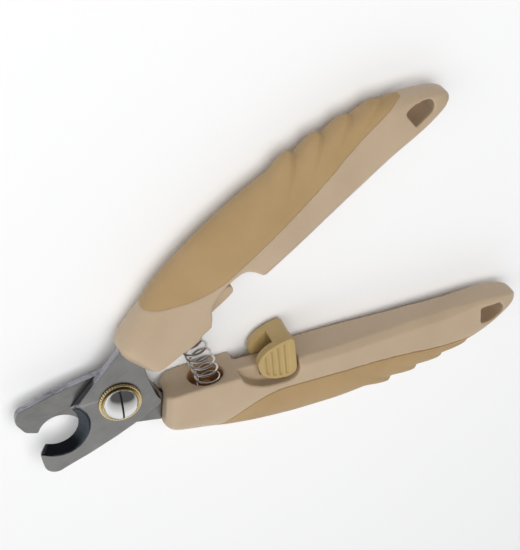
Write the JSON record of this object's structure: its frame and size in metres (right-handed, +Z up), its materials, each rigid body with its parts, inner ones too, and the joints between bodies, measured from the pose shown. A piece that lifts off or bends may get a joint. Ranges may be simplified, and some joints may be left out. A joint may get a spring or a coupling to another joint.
{
  "type": "pet nail trimmer",
  "caption": "Plier-type pet nail trimmer with crossed hook-shaped blades on a screw pivot, sprung moulded handles with soft ribbed grips, hanging holes and a sliding thumb lock.",
  "frame": {"origin": "centre of the bounding box in X and Y, on the surface that the trimmer lies on", "axes": "+Z up with the trimmer lying flat, +X from the jaws to the handle ends along the centre line between the handles, +Y towards the upper handle"},
  "size_m": [0.1536, 0.0976, 0.0146],
  "materials": {
    "cream_plastic": "moulded hard plastic, cream beige, fine satin",
    "tan_grip": "soft overmoulded elastomer, tan, matt",
    "lock_plastic": "moulded plastic, yellow tan, satin",
    "blade_steel": "flat ground stainless steel, satin",
    "plated_steel": "bright nickel plated",
    "gold_washer": "bright gold, serrated rim"
  },
  "bodies": {
    "lower": {"lower_handle": "cream_plastic", "lower_grip": "tan_grip", "rear_blade": "blade_steel", "pivot_screw": "plated_steel", "serrated_washer": "gold_washer", "rear_washer": "plated_steel", "pivot_nut": "plated_steel", "return_spring": "plated_steel"},
    "upper": {"upper_handle": "cream_plastic", "upper_grip": "tan_grip", "front_blade": "blade_steel"},
    "lock": {"lock_slider": "lock_plastic"}
  },
  "joints": [
    {"name": "handle_hinge", "type": "hinge", "parent": "lower", "child": "upper", "pos_m": [-0.04733, 0, 0.0073], "axis": [0, 0, -1], "range_deg": [0, 33], "stiffness_Nm_per_rad": 0.25, "springref_deg": -11.46, "deforming": ["return_spring"]},
    {"name": "lock_slide", "type": "slide", "parent": "lower", "child": "lock", "axis": [-0.9563, 0.2924, 0], "range_m": [0, 0.003]}
  ]
}
